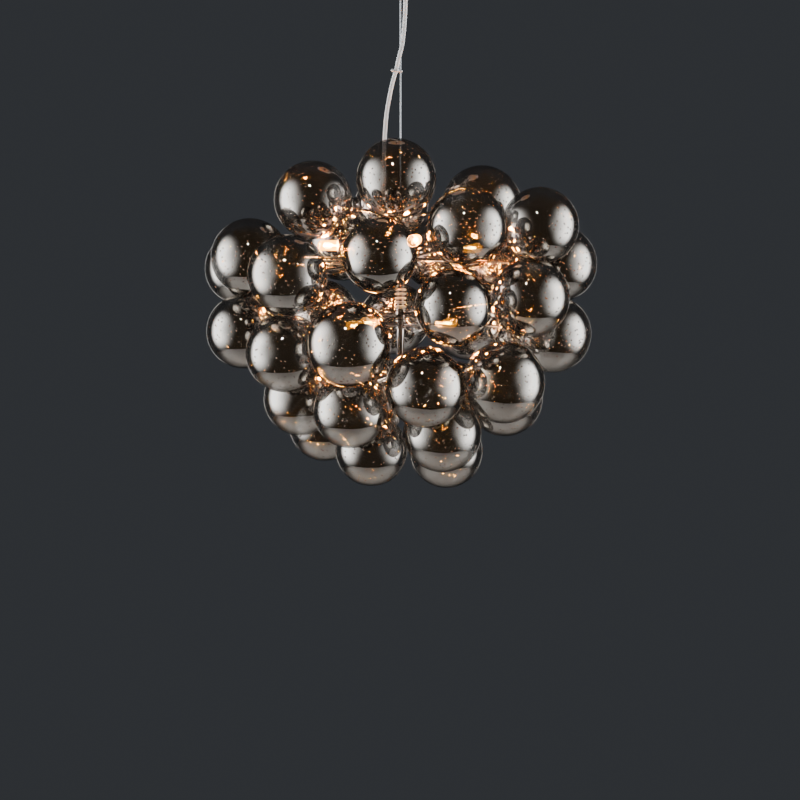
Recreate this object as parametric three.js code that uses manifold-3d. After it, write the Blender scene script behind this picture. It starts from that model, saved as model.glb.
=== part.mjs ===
// Bubble chandelier: a tight cluster of smoked glass globes on five chrome crowns round one stem,
// with capsule lamps between them. A steel wire carries it, and the supply flex hangs beside the wire.
// Millimetres, +Z up, front towards -Y. The origin is the middle of the ceiling bracket's top face.

import * as THREE from 'three';
import { mergeVertices } from 'three/addons/utils/BufferGeometryUtils.js';
import Module from 'manifold-3d';

const wasm = await Module();
wasm.setup();

// Fit between pieces that touch on the real lamp
const clearance = 0.3;
const swivelClearance = 0.45;
const overrun = 1;

// Glass globes, each blown with a short neck that faces the stem
const globeDiameter = 96;
const globeWall = 2;
const neckRadius = 12;
const neckWall = 2.5;
const neckLength = 6;

// Cluster
const clusterDrop = 465;

// Ceiling bracket, with the round plate that the canopy slides over
const plateThickness = 3;
const plateScrewRadius = 2.6;
const plateScrewReach = 44;
const supplyHoleRadius = 11;
const supplyHoleReach = 38;
const legThickness = 2.5;
const legWidth = 18;
const socketWall = 3.5;
const socketAngles = [50, 80];

// Canopy
const canopyRadius = 60;
const canopyWall = 1.5;
const canopyHeight = 38;
const canopyCorner = 7;
const canopyHoleRadius = 17.5;

// Terminal block
const blockLength = 30;
const blockWidth = 14;
const blockHeight = 11;
const blockRibHeight = 3;
const blockRibLength = 6;
const blockRibSpacing = 9.6;

// Ball swivel: the gripper's half ball turns in a nylon seat, and the seat in the bracket's socket
const pivotDrop = 22;
const ballRadius = 19;
const ballTop = 5;
const seatWall = 2.35;
const seatAngles = [57, 76];

// Wire gripper, with the plunger that lets the wire go when it is pushed up
const barrelRadius = 4.6;
const barrelMouthDrop = 56;
const plungerRadius = 3.2;
const plungerLength = 9;
const plungerProud = 3.5;
const plungerTravel = 2;

// Steel wire and its crimped stop
const wireRadius = 1;
const wireEndAboveBall = 3;
const stopRadius = 2.3;
const stopLength = 7;

// Supply flex and the clip that ties it to the wire
const flexRadius = 2.65;
const flexSteps = 22;
const flexEndAboveBall = 2;
const flexReach = 21;
const clipSlack = 0.9;
const clipWall = 0.9;
const clipHeight = 3.4;
const clipBeadRadius = 2.9;
const clipEndRadius = 2;

// Stem
const stemRadius = 5;
const stemWall = 1.1;
const headRadius = 27;
const headLift = 6;
const headThickness = 5;
const headBossRadius = 6;
const headBossHeight = 5;
const headSpigotWall = 0.9;
const headSpigotLength = 9;
const bushRadius = 4.6;
const bushHeight = 4;
const plugRadius = 9;
const plugThickness = 3.5;
const plugSpigotLength = 10;

// Crowns: a slim hub on the stem with an arm and a cap for each globe. The lowest hub is a wide bowl.
const hubRadius = 7.5;
const bowlRadius = 19;
const hubHeight = 14;
const hubChamfer = 1.5;
const armRadius = 2;
const capRadius = 14.5;
const capDepth = 9;

// Capsule lamps and the holders that reach out from two of the hubs
const lampBossRadius = 7.5;
const lampBossHeight = 12;
const lampArmRadius = 3;
const holderRadius = 8.4;
const holderWall = 1.8;
const holderDepth = 13;
const holderFloor = 3;
const lampRadius = 6.4;
const lampLength = 27;
const lampBaseRadius = 5.6;
const lampsPerHub = 4;

// Sides of the round pieces
const globeSides = 10;
const globeRings = 4;
const armSides = 8;
const hubSides = 12;
const lampSides = 8;
const canopySides = 24;
const swivelSides = 20;
const stemSides = 16;
const wireSides = 8;
const flexSides = 8;
const seatRings = 3;
const ballRings = 7;

// Each crown's height over the middle of the cluster, in globe diameters, and its globes. A globe's line
// holds its turn from the front in degrees, then its reach, height and size in globe diameters. A crown
// with lamps also has their height, the reach of their holders and the first one's turn.
const crownShares = {
  top: {
    height: 1.36,
    globes: [
      [-71, 1.2, 1.54, 1.02],
      [-3, 1.06, 1.73, 1.02],
      [111, 1.17, 1.56, 1.08],
      [-174, 1.15, 1.66, 1.03],
    ],
  },
  upper: {
    height: 0.8,
    lampHeight: 0.97,
    lampReach: 0.67,
    lampTurn: -79,
    globes: [
      [-103, 2.2, 0.72, 1.01],
      [-73, 2.02, 0.78, 1.01],
      [-40, 2.15, 0.48, 1.0],
      [-7, 2.04, 0.69, 0.94],
      [26, 1.86, 1.05, 1.0],
      [68, 1.92, 1.17, 1.0],
      [96, 2.12, 0.76, 1.02],
      [134, 1.98, 0.92, 1.03],
      [165, 2.05, 1.04, 1.03],
      [-155, 1.98, 1.16, 1.03],
    ],
  },
  middle: {
    height: 0.08,
    lampHeight: -0.057,
    lampReach: 0.44,
    lampTurn: -34,
    globes: [
      [-87, 2.06, -0.15, 0.98],
      [-50, 1.88, -0.46, 1.0],
      [-18, 2.03, -0.38, 1.05],
      [18, 2.05, 0.07, 0.94],
      [51, 2.07, 0.22, 1.0],
      [83, 2.0, -0.19, 1.01],
      [122, 2.06, -0.12, 1.0],
      [152, 2.06, 0.03, 1.03],
      [-178, 2.08, 0.12, 1.03],
      [-148, 2.08, 0.14, 1.03],
    ],
  },
  lower: {
    height: -0.68,
    globes: [
      [-75, 1.34, -1.03, 0.97],
      [-27, 1.38, -1.18, 0.95],
      [10, 1.76, -0.9, 1.0],
      [45, 1.82, -0.83, 1.03],
      [104, 1.44, -1.03, 1.02],
      [152, 1.6, -1.02, 1.03],
      [-165, 1.75, -0.85, 1.03],
    ],
  },
  bottom: {
    height: -1.0,
    globes: [
      [-119, 1.17, -1.39, 0.97],
      [-48, 0.51, -1.7, 0.94],
      [31, 1.03, -1.47, 1.0],
      [126, 0.76, -1.74, 1.0],
    ],
  },
};

// Places that several pieces share
const middleHeight = -clusterDrop;
const crownHeight = (crown) => middleHeight + crownShares[crown].height * globeDiameter;
const pivotHeight = -pivotDrop;
const wireBore = wireRadius + clearance;
const flexBore = flexRadius + clearance;
const stemBore = stemRadius - stemWall;
const headBottom = crownHeight('top') + hubHeight / 2 + headLift;
const headTop = headBottom + headThickness;
const bushTop = headTop + bushHeight;
const bowlDrop = Math.sqrt(bowlRadius ** 2 - plugRadius ** 2);
const stemBottom = crownHeight('bottom') - bowlDrop;
const canopyTop = -clearance;
const canopyBottom = canopyTop - canopyHeight;

// The flex's route, from its end over the ball to the bush on the stem's head. Each point holds its places
// to the right and to the back as shares of the bush's reach, then its drop as a share of the whole drop.
const clipShares = [-0.27, -0.17, 0.454];
const flexShares = [
  [0.3, -0.22, 0],
  [0.3, -0.22, 0.05],
  [0.3, -0.22, 0.1],
  [0.295, -0.22, 0.16],
  [0.27, -0.225, 0.22],
  [0.21, -0.235, 0.28],
  [0.1, -0.24, 0.343],
  [-0.12, -0.23, 0.407],
  clipShares,
  [-0.46, -0.12, 0.498],
  [-0.66, -0.07, 0.562],
  [-0.85, -0.02, 0.643],
  [-0.95, 0, 0.74],
  [-0.99, 0, 0.84],
  [-1, 0, 0.93],
  [-1, 0, 1],
];
const flexTopHeight = pivotHeight + ballTop + flexEndAboveBall;
const flexDrop = flexTopHeight - bushTop - clearance;
const flexPlace = ([right, back, drop]) => new THREE.Vector3(
  right * flexReach, back * flexReach, flexTopHeight - drop * flexDrop);
const flexRoute = flexShares.map(flexPlace);
const clipPoint = flexPlace(clipShares);

// Finishes
const finish = (color, roughness, metalness, opacity = 1) =>
  new THREE.MeshStandardMaterial({ color, roughness, metalness, opacity, transparent: opacity < 1 });
const smokedGlass = () => finish('#4a433f', 0.04, 0.35, 0.55);
const chrome = () => finish('#c9ccd0', 0.12, 1);
const steel = () => finish('#b4b7ba', 0.3, 1);
const satinNickel = () => finish('#a9abad', 0.35, 0.9);
const whiteFlex = () => finish('#dedcd8', 0.5, 0);
const clearPlastic = () => finish('#d5d6d6', 0.35, 0);
const nylon = () => finish('#e3dfd2', 0.5, 0);
const lampGlass = () => finish('#ffd9a8', 0.1, 0);

// A closed mesh turned about +Y from an outline of [radius, along] pairs. An outline that touches the
// axis starts and ends on it, and any other closes on itself.
function revolve(outline, sides) {
  const area = outline.reduce((sum, [r, y], i) => {
    const [nextR, nextY] = outline[(i + 1) % outline.length];
    return sum + r * nextY - nextR * y;
  }, 0);
  const run = area > 0 ? outline : [...outline].reverse();
  const closed = run.some(([r]) => r === 0) ? run : [...run, run[0]];
  return new THREE.LatheGeometry(closed.map(([r, y]) => new THREE.Vector2(r, y)), sides);
}

// The same, turned about +Z, with heights in place of the distance along +Y.
const upright = (outline, sides) => revolve(outline, sides).rotateX(Math.PI / 2);

const rod = (radius, low, high, sides) =>
  revolve([[0, low], [radius, low], [radius, high], [0, high]], sides);

const uprightRod = (radius, low, high, sides) => rod(radius, low, high, sides).rotateX(Math.PI / 2);

// Points on an arc about a centre on the axis, from one angle to another, both measured from straight down.
function arcBelow(radius, centre, from, to, steps) {
  return Array.from({ length: steps + 1 }, (_, i) => {
    const angle = from + ((to - from) * i) / steps;
    return [radius * Math.sin(angle), centre - radius * Math.cos(angle)];
  });
}

// A three.js geometry as a solid that can be joined and cut.
function solidOf(geometry) {
  const bare = geometry.clone();
  bare.deleteAttribute('normal');
  bare.deleteAttribute('uv');
  const merged = mergeVertices(bare);
  const corners = merged.index.array;
  const faces = [];
  for (let i = 0; i < corners.length; i += 3) {
    const [a, b, c] = corners.slice(i, i + 3);
    if (a !== b && b !== c && c !== a) faces.push(a, b, c);
  }
  return new wasm.Manifold(new wasm.Mesh({
    numProp: 3,
    vertProperties: merged.attributes.position.array,
    triVerts: new Uint32Array(faces),
  }));
}

// A joined or cut solid as a flat-shaded geometry again.
function geometryOf(solid) {
  const mesh = solid.getMesh();
  const geometry = new THREE.BufferGeometry();
  geometry.setAttribute('position', new THREE.BufferAttribute(mesh.vertProperties, 3));
  geometry.setIndex(new THREE.BufferAttribute(mesh.triVerts, 1));
  const flat = geometry.toNonIndexed();
  flat.computeVertexNormals();
  return flat;
}

const join = (geometries) => geometries.map(solidOf).reduce((all, next) => all.add(next));
const cut = (solid, geometries) => geometries.map(solidOf).reduce((left, next) => left.subtract(next), solid);

function piece(name, geometry, material) {
  const mesh = new THREE.Mesh(geometry, material);
  mesh.name = name;
  return mesh;
}

// The way out from the stem at a turn from the front, and a place at a reach and height.
const outward = (turn) => {
  const angle = THREE.MathUtils.degToRad(turn);
  return new THREE.Vector3(Math.sin(angle), -Math.cos(angle), 0);
};
const placeAt = (turn, reach, height) => outward(turn).multiplyScalar(reach).setZ(height);
const alongY = new THREE.Vector3(0, 1, 0);
const pointing = (direction) => new THREE.Quaternion().setFromUnitVectors(alongY, direction);

// Ceiling bracket: a round plate, two legs and the socket that they carry. The socket's hollow is part
// of a sphere about the pivot.
function ceilingBracket() {
  const plateRadius = canopyRadius - canopyWall - clearance;
  const socketHollow = ballRadius + seatWall + 2 * swivelClearance;
  const socketRadius = socketHollow + socketWall;
  const [low, high] = socketAngles.map(THREE.MathUtils.degToRad);
  const hollow = arcBelow(socketHollow, pivotHeight, low, high, seatRings);
  const socketTop = hollow.at(-1)[1];
  const socketBottom = hollow[0][1];
  const legLength = -socketBottom - plateThickness / 2;
  const leg = (side) => new THREE.BoxGeometry(legThickness, legWidth, legLength).translate(
    side * (socketRadius - legThickness / 2), 0, socketBottom + legLength / 2);
  const through = (radius, x, y) => uprightRod(
    radius, -plateThickness - overrun, overrun, hubSides).translate(x, y, 0);
  const body = join([
    uprightRod(plateRadius, -plateThickness, 0, canopySides),
    upright([...hollow, [socketRadius, socketTop], [socketRadius, socketBottom]], swivelSides),
    leg(1),
    leg(-1),
  ]);
  return piece('ceiling_bracket', geometryOf(cut(body, [
    through(supplyHoleRadius, -supplyHoleReach, 0),
    through(plateScrewRadius, 0, plateScrewReach),
    through(plateScrewRadius, 0, -plateScrewReach),
  ])), steel());
}

// Terminal block under the plate, with three ribs for its screw barrels.
function terminalBlock() {
  const top = -plateThickness - clearance;
  const ribMiddle = top - blockHeight - (blockRibHeight - overrun) / 2;
  const ribs = [-1, 0, 1].map((side) => new THREE.BoxGeometry(
    blockWidth, blockRibLength, blockRibHeight + overrun).translate(0, side * blockRibSpacing, ribMiddle));
  const base = new THREE.BoxGeometry(blockWidth, blockLength, blockHeight)
    .translate(0, 0, top - blockHeight / 2);
  const block = piece('terminal_block', geometryOf(join([base, ...ribs])), nylon());
  block.position.x = supplyHoleReach;
  return block;
}

// Canopy: a cup with a rounded rim and a wide hole for the gripper and the flex.
function canopyCup() {
  const inner = canopyRadius - canopyWall;
  const bend = canopyCorner * Math.SQRT1_2;
  const floor = canopyBottom + canopyWall;
  return piece('canopy_cup', upright([
    [inner, canopyTop],
    [canopyRadius, canopyTop],
    [canopyRadius, canopyBottom + canopyCorner],
    [canopyRadius - canopyCorner + bend, canopyBottom + canopyCorner - bend],
    [canopyRadius - canopyCorner, canopyBottom],
    [canopyHoleRadius, canopyBottom],
    [canopyHoleRadius, floor],
    [canopyRadius - canopyCorner, floor],
    [inner, canopyBottom + canopyCorner],
  ], canopySides), satinNickel());
}

// Nylon seat: a zone of a spherical shell between the ball and the socket.
function swivelSeat() {
  const innerRadius = ballRadius + swivelClearance;
  const [low, high] = seatAngles.map(THREE.MathUtils.degToRad);
  const inside = arcBelow(innerRadius, pivotHeight, low, high, seatRings - 1);
  const outside = arcBelow(innerRadius + seatWall, pivotHeight, high, low, seatRings - 1);
  return piece('swivel_seat', upright([...inside, ...outside], swivelSides), nylon());
}

// Wire gripper: half a ball with a barrel under it, bored for the wire, the plunger and the flex.
function cableGripper() {
  const top = pivotHeight + ballTop;
  const mouth = -barrelMouthDrop;
  const plungerBore = plungerRadius + clearance;
  const plungerSeat = mouth - plungerProud + plungerLength + plungerTravel + clearance;
  const ball = arcBelow(ballRadius, pivotHeight, Math.asin(barrelRadius / ballRadius),
    Math.PI / 2 + Math.asin(ballTop / ballRadius), ballRings);
  const body = upright([
    [wireBore, plungerSeat],
    [plungerBore, plungerSeat],
    [plungerBore, mouth],
    [barrelRadius, mouth],
    ...ball,
    [wireBore, top],
  ], swivelSides);
  const flexHole = uprightRod(flexBore, mouth, top + overrun, flexSides)
    .translate(flexRoute[0].x, flexRoute[0].y, 0);
  return piece('cable_gripper', geometryOf(cut(solidOf(body), [flexHole])), chrome());
}

function gripperPlunger() {
  const low = -barrelMouthDrop - plungerProud;
  const high = low + plungerLength;
  return piece('gripper_plunger', upright([
    [wireBore, low], [plungerRadius, low], [plungerRadius, high], [wireBore, high],
  ], armSides), steel());
}

// Steel wire, with the crimped stop that the stem's head rests on.
function suspensionWire() {
  const top = pivotHeight + ballTop + wireEndAboveBall;
  const stopTop = headBottom - clearance;
  return piece('suspension_wire', upright([
    [0, top],
    [wireRadius, top],
    [wireRadius, stopTop],
    [stopRadius, stopTop],
    [stopRadius, stopTop - stopLength],
    [0, stopTop - stopLength],
  ], wireSides), steel());
}

function flexCord() {
  const round = new THREE.Shape();
  round.absarc(0, 0, flexRadius, 0, 2 * Math.PI);
  return piece('flex_cord', new THREE.ExtrudeGeometry(round, {
    extrudePath: new THREE.CatmullRomCurve3(flexRoute),
    steps: flexSteps,
    curveSegments: flexSides / 2,
    bevelEnabled: false,
  }), whiteFlex());
}

// Cord clip: a bead on the wire, a ring round the flex and a small end bead.
function cordClip() {
  const innerRadius = flexRadius + clipSlack;
  const ringRadius = innerRadius + clipWall;
  const half = clipHeight / 2;
  const away = new THREE.Vector3(clipPoint.x, clipPoint.y, 0).normalize();
  const ring = upright([
    [innerRadius, -half], [ringRadius, -half], [ringRadius, half], [innerRadius, half],
  ], hubSides).translate(clipPoint.x, clipPoint.y, 0);
  const bead = upright([
    [wireBore, -half], [clipBeadRadius, -half / 2], [clipBeadRadius, half / 2], [wireBore, half],
  ], armSides);
  const endReach = Math.hypot(clipPoint.x, clipPoint.y) + ringRadius + clipEndRadius / 2;
  const end = new THREE.SphereGeometry(clipEndRadius, armSides, armSides / 2)
    .translate(away.x * endReach, away.y * endReach, 0);
  const clip = piece('cord_clip', geometryOf(join([ring, bead, end])), clearPlastic());
  clip.position.z = clipPoint.z;
  return clip;
}

// Stem head: a round plate that rests on the wire's stop, with a spigot into the stem and a flex bush.
function stemHead() {
  const spigotRadius = stemBore - clearance;
  const spigotBore = spigotRadius - headSpigotWall;
  const spigotBottom = headBottom - headSpigotLength;
  const body = upright([
    [wireBore, headBottom],
    [spigotBore, headBottom],
    [spigotBore, spigotBottom],
    [spigotRadius, spigotBottom],
    [spigotRadius, headBottom],
    [headRadius, headBottom],
    [headRadius, headTop],
    [headBossRadius, headTop],
    [headBossRadius, headTop + headBossHeight],
    [wireBore, headTop + headBossHeight],
  ], stemSides);
  const bush = uprightRod(bushRadius, headBottom + overrun, bushTop, armSides).translate(-flexReach, 0, 0);
  return piece('stem_head', geometryOf(join([body, bush])), chrome());
}

function stemTube() {
  const top = headBottom - clearance;
  return piece('stem_tube', upright([
    [stemBore, stemBottom], [stemRadius, stemBottom], [stemRadius, top], [stemBore, top],
  ], stemSides), chrome());
}

// Bottom plug: a domed end with a spigot that screws up into the stem.
function bottomPlug() {
  const top = stemBottom - clearance;
  const spigotRadius = stemBore - clearance;
  return piece('bottom_plug', upright([
    [0, top + plugSpigotLength],
    [spigotRadius, top + plugSpigotLength],
    [spigotRadius, top],
    [plugRadius, top],
    [plugRadius, top - plugThickness / 2],
    [plugRadius / 2, top - plugThickness],
    [0, top - plugThickness],
  ], stemSides), chrome());
}

// A globe about its own centre: an even wall, with the open neck towards -Y.
function globeGeometry(radius) {
  const shell = (wallRadius, throatRadius) => {
    const rings = Array.from({ length: globeRings }, (_, i) => {
      const angle = (Math.PI * i) / globeRings;
      return [wallRadius * Math.sin(angle), wallRadius * Math.cos(angle)];
    });
    return [...rings, [throatRadius, -Math.sqrt(wallRadius ** 2 - throatRadius ** 2)]];
  };
  const lip = neckEnd(radius);
  const inside = shell(radius - globeWall, neckRadius - neckWall).reverse();
  return revolve([
    ...shell(radius, neckRadius),
    [neckRadius, -lip],
    [neckRadius - neckWall, -lip],
    ...inside,
  ], globeSides);
}

// How far a globe's neck reaches from its centre.
const neckEnd = (radius) => Math.sqrt(radius ** 2 - neckRadius ** 2) + neckLength;

// One arm with its bell cap, from inside the hub to a globe's neck.
const armGeometry = (capFace) => revolve([
  [0, stemRadius],
  [armRadius, stemRadius],
  [armRadius, capFace - capDepth],
  [capRadius, capFace],
  [0, capFace],
], armSides);

// One lamp holder on its arm: a cup whose mouth faces out.
const holderGeometry = (reach) => revolve([
  [0, stemRadius],
  [lampArmRadius, stemRadius],
  [lampArmRadius, reach],
  [holderRadius, reach],
  [holderRadius, reach + holderFloor + holderDepth],
  [holderRadius - holderWall, reach + holderFloor + holderDepth],
  [holderRadius - holderWall, reach + holderFloor],
  [0, reach + holderFloor],
], armSides);

// A capsule lamp: its base stands in the holder and its round end faces out.
function lampGeometry(reach) {
  const foot = reach + holderFloor + clearance;
  const shoulder = reach + holderFloor + holderDepth;
  const tip = shoulder + lampLength;
  return revolve([
    [0, foot],
    [lampBaseRadius, foot],
    [lampBaseRadius, shoulder],
    [lampRadius, shoulder + lampRadius / 2],
    [lampRadius, tip - lampRadius],
    [lampRadius * Math.SQRT1_2, tip - lampRadius * (1 - Math.SQRT1_2)],
    [0, tip],
  ], lampSides);
}

// The hub's outline about its own middle: a chamfered disc, or on the bottom crown a bowl.
function hubOutline(isBottom) {
  const half = hubHeight / 2;
  const radius = isBottom ? bowlRadius : hubRadius;
  const upper = [[radius, half - hubChamfer], [radius - hubChamfer, half], [0, half]];
  if (isBottom) {
    const flat = Math.asin(plugRadius / radius);
    return [[0, -bowlDrop], ...arcBelow(radius, 0, flat, Math.PI / 2, seatRings), ...upper];
  }
  return [[0, -half], [radius - hubChamfer, -half], [radius, hubChamfer - half], ...upper];
}

// One crown with its globes and lamps, about the hub's middle.
function crown(crownName) {
  const { height, globes, lampHeight, lampReach, lampTurn } = crownShares[crownName];
  const group = new THREE.Group();
  group.position.z = crownHeight(crownName);
  const parts = [upright(hubOutline(crownName === 'bottom'), hubSides)];
  globes.forEach(([turn, reach, rise, size], i) => {
    const centre = placeAt(turn, reach * globeDiameter, (rise - height) * globeDiameter);
    const direction = centre.clone().normalize();
    const radius = (size * globeDiameter) / 2;
    const globe = piece(`globe_${crownName}_${i + 1}`, globeGeometry(radius), smokedGlass());
    globe.position.copy(centre);
    globe.quaternion.copy(pointing(direction));
    group.add(globe);
    const capFace = centre.length() - neckEnd(radius) - clearance;
    parts.push(armGeometry(capFace).applyQuaternion(pointing(direction)));
  });
  let [low, high] = [-bowlDrop, hubHeight / 2];
  if (lampHeight !== undefined) {
    const lampRise = (lampHeight - height) * globeDiameter;
    const holderReach = lampReach * globeDiameter;
    const end = lampRise + (Math.sign(lampRise) * lampBossHeight) / 2;
    [low, high] = [Math.min(low, end), Math.max(high, end)];
    parts.push(uprightRod(lampBossRadius, Math.min(0, end), Math.max(0, end), hubSides));
    for (let i = 0; i < lampsPerHub; i += 1) {
      const turned = pointing(outward(lampTurn + (360 * i) / lampsPerHub));
      parts.push(holderGeometry(holderReach).applyQuaternion(turned).translate(0, 0, lampRise));
      const lamp = piece(`lamp_${crownName}_${i + 1}`, lampGeometry(holderReach), lampGlass());
      lamp.quaternion.copy(turned);
      lamp.position.z = lampRise;
      group.add(lamp);
    }
  }
  const bore = uprightRod(stemRadius + clearance, low - overrun, high + overrun, stemSides);
  group.add(piece(`crown_${crownName}`, geometryOf(cut(join(parts), [bore])), chrome()));
  return group;
}

const group = new THREE.Group();
group.add(
  ceilingBracket(),
  terminalBlock(),
  canopyCup(),
  swivelSeat(),
  cableGripper(),
  gripperPlunger(),
  suspensionWire(),
  flexCord(),
  cordClip(),
  stemHead(),
  stemTube(),
  bottomPlug(),
  ...Object.keys(crownShares).map(crown),
);

export default group;
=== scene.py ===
# %% [markdown]
# # A chandelier of smoked glass bubbles
# Thirty-five blown globes sit on five chrome crowns round one stem, and eight capsule lamps glow between
# them. The engineering model gives every place and size, so this lesson only makes fine surfaces over it
# and gives each one its finish. Lengths are in metres, +Z is up, and the front looks towards -Y.

# %% Load the engineering model
import math
import bpy
import numpy as np
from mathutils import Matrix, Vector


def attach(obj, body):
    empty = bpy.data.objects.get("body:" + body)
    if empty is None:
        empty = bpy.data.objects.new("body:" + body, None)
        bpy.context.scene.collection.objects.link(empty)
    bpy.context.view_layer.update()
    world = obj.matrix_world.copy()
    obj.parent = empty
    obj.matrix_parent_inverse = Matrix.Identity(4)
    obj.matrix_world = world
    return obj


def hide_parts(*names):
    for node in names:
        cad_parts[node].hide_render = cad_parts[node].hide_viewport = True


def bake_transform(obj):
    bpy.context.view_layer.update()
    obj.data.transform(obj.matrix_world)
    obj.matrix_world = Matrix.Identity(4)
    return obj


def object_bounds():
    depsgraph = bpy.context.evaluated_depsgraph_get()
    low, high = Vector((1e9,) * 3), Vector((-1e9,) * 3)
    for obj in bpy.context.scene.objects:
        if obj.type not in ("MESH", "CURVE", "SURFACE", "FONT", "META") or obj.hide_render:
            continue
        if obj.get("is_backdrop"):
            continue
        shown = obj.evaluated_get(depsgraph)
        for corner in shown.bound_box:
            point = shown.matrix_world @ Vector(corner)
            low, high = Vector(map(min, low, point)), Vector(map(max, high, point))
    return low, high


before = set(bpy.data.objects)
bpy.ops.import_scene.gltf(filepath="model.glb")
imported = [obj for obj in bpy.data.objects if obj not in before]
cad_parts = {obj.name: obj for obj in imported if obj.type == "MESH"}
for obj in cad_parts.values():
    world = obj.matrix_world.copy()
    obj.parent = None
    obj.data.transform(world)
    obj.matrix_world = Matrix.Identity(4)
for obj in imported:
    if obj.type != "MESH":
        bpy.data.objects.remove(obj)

MM = 0.001
cad_low, cad_high = (np.array(corner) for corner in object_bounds())
print("model box", [round(v, 4) for v in (*cad_low, *cad_high)])

# %% [markdown]
# ## Camera
# The lamp is seen level from the front, from about two metres, through a long lens. The canopy lies just
# above the top edge of the picture.

# %% Camera
SENSOR, FOCAL = 36, 78.2
EYE = (-0.6 * MM, -2.2, -0.566)
scene = bpy.context.scene
lens = bpy.data.cameras.new("front_camera")
lens.sensor_width = SENSOR
lens.lens = FOCAL
camera = bpy.data.objects.new("front_camera", lens)
camera.location = EYE
camera.rotation_euler = (math.pi / 2, 0, 0)
scene.collection.objects.link(camera)
scene.camera = camera

# %% [markdown]
# ## Surfaces from numbers
# Nearly every piece here was turned on a lathe or drawn along a line. So two formulas make them all: a
# profile that turns about an axis, and a round section that follows a path. Both return plain arrays,
# and one function puts arrays into a Blender mesh.


# %% A profile turned about Z
def turned(profile, sides=48):
    """x = r cos a, y = r sin a, z = h for each profile point (r, h) and each angle a of a full turn.

    A profile that starts and ends on the axis gets one vertex at each pole. Any other closes on itself.
    The signed area of the profile tells which way it runs, and it is turned round if its faces would
    point inwards.
    """
    p = np.asarray(profile, float)
    ahead = np.roll(p, -1, axis=0)
    if np.sum(p[:, 0] * ahead[:, 1] - ahead[:, 0] * p[:, 1]) < 0:
        p = p[::-1]
    poled = abs(p[0, 0]) < 1e-9
    rings = p[1:-1] if poled else p
    angle = 2 * np.pi * np.arange(sides) / sides
    xyz = np.stack([
        np.outer(rings[:, 0], np.cos(angle)),
        np.outer(rings[:, 0], np.sin(angle)),
        np.repeat(rings[:, 1:2], sides, axis=1),
    ], axis=-1).reshape(-1, 3)
    i = np.arange(sides)
    j = np.roll(i, -1)
    count = len(rings)
    low = np.arange(count - 1 if poled else count)[:, None] * sides
    high = (low + sides) % (count * sides)
    quads = np.stack([low + i, low + j, high + j, high + i], axis=-1).reshape(-1, 4)
    if not poled:
        return xyz, quads
    last = (count - 1) * sides
    first_pole, last_pole = len(xyz), len(xyz) + 1
    xyz = np.vstack([xyz, [[0, 0, p[0, 1]], [0, 0, p[-1, 1]]]])
    fans = np.vstack([
        np.stack([np.full(sides, first_pole), j, i, np.full(sides, -1)], axis=-1),
        np.stack([last + i, last + j, np.full(sides, last_pole), np.full(sides, -1)], axis=-1),
    ])
    return xyz, np.vstack([quads, fans])


# %% A section drawn along a path
def drawn(path, radius, sides=16, across=(0, 1, 0), ripple=None):
    """centre(s) + r (cos a N + sin a B): a round section carried along a path, with a pole at each end.

    T is the path's direction, N is `across` with its share along T taken away, and B = T x N. The radius
    may change along the path, and `ripple(s, a)` may multiply it, with s the distance along the path.
    """
    path = np.asarray(path, float)
    tangent = np.gradient(path, axis=0)
    tangent /= np.linalg.norm(tangent, axis=1)[:, None]
    normal = np.asarray(across, float) - tangent * (tangent @ np.asarray(across, float))[:, None]
    normal /= np.linalg.norm(normal, axis=1)[:, None]
    binormal = np.cross(tangent, normal)
    angle = 2 * np.pi * np.arange(sides) / sides
    along = np.concatenate([[0], np.cumsum(np.linalg.norm(np.diff(path, axis=0), axis=1))])
    r = np.broadcast_to(np.asarray(radius, float), (len(path),))[:, None] * np.ones(sides)
    if ripple is not None:
        r = r * ripple(along[:, None], angle[None, :])
    xyz = (path[:, None] + r[..., None] * (
        np.cos(angle)[None, :, None] * normal[:, None] + np.sin(angle)[None, :, None] * binormal[:, None]))
    xyz = np.vstack([xyz.reshape(-1, 3), path[:1], path[-1:]])
    i = np.arange(sides)
    j = np.roll(i, -1)
    low = np.arange(len(path) - 1)[:, None] * sides
    quads = np.stack([low + i, low + j, low + sides + j, low + sides + i], axis=-1).reshape(-1, 4)
    last = (len(path) - 1) * sides
    start_pole, end_pole = len(xyz) - 2, len(xyz) - 1
    none = np.full(sides, -1)
    fans = np.vstack([
        np.stack([np.full(sides, start_pole), j, i, none], axis=-1),
        np.stack([last + i, last + j, np.full(sides, end_pole), none], axis=-1),
    ])
    return xyz, np.vstack([quads, fans])


# %% Rounded corners on a profile
SIDE_SHARE, LEAD = 0.36, 1.25


def eased(profile, radius, closed=False):
    """Each corner P between A and B becomes the curve (1-t)^2 P1 + 2t(1-t) P + t^2 P2, where P1 and P2 lie
    a radius away from P on its two sides, or at most SIDE_SHARE of the shorter side. One more point before
    and after, LEAD times as far away, keeps the flats flat.
    """
    p = np.asarray(profile, float)
    before, after = np.roll(p, 1, axis=0), np.roll(p, -1, axis=0)
    to_a, to_b = before - p, after - p
    len_a, len_b = np.linalg.norm(to_a, axis=1), np.linalg.norm(to_b, axis=1)
    reach = np.minimum(np.minimum(len_a, len_b) * SIDE_SHARE, radius)[:, None]
    one = p + to_a / len_a[:, None] * reach
    two = p + to_b / len_b[:, None] * reach
    t = np.linspace(0, 1, 4)[None, :, None]
    curve = (1 - t) ** 2 * one[:, None] + 2 * t * (1 - t) * p[:, None] + t ** 2 * two[:, None]
    lead_in = (p + to_a / len_a[:, None] * reach * LEAD)[:, None]
    lead_out = (p + to_b / len_b[:, None] * reach * LEAD)[:, None]
    bent = np.concatenate([lead_in, curve, lead_out], axis=1)
    if closed:
        return bent.reshape(-1, 2)
    return np.vstack([p[:1], bent[1:-1].reshape(-1, 2), p[-1:]])


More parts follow.
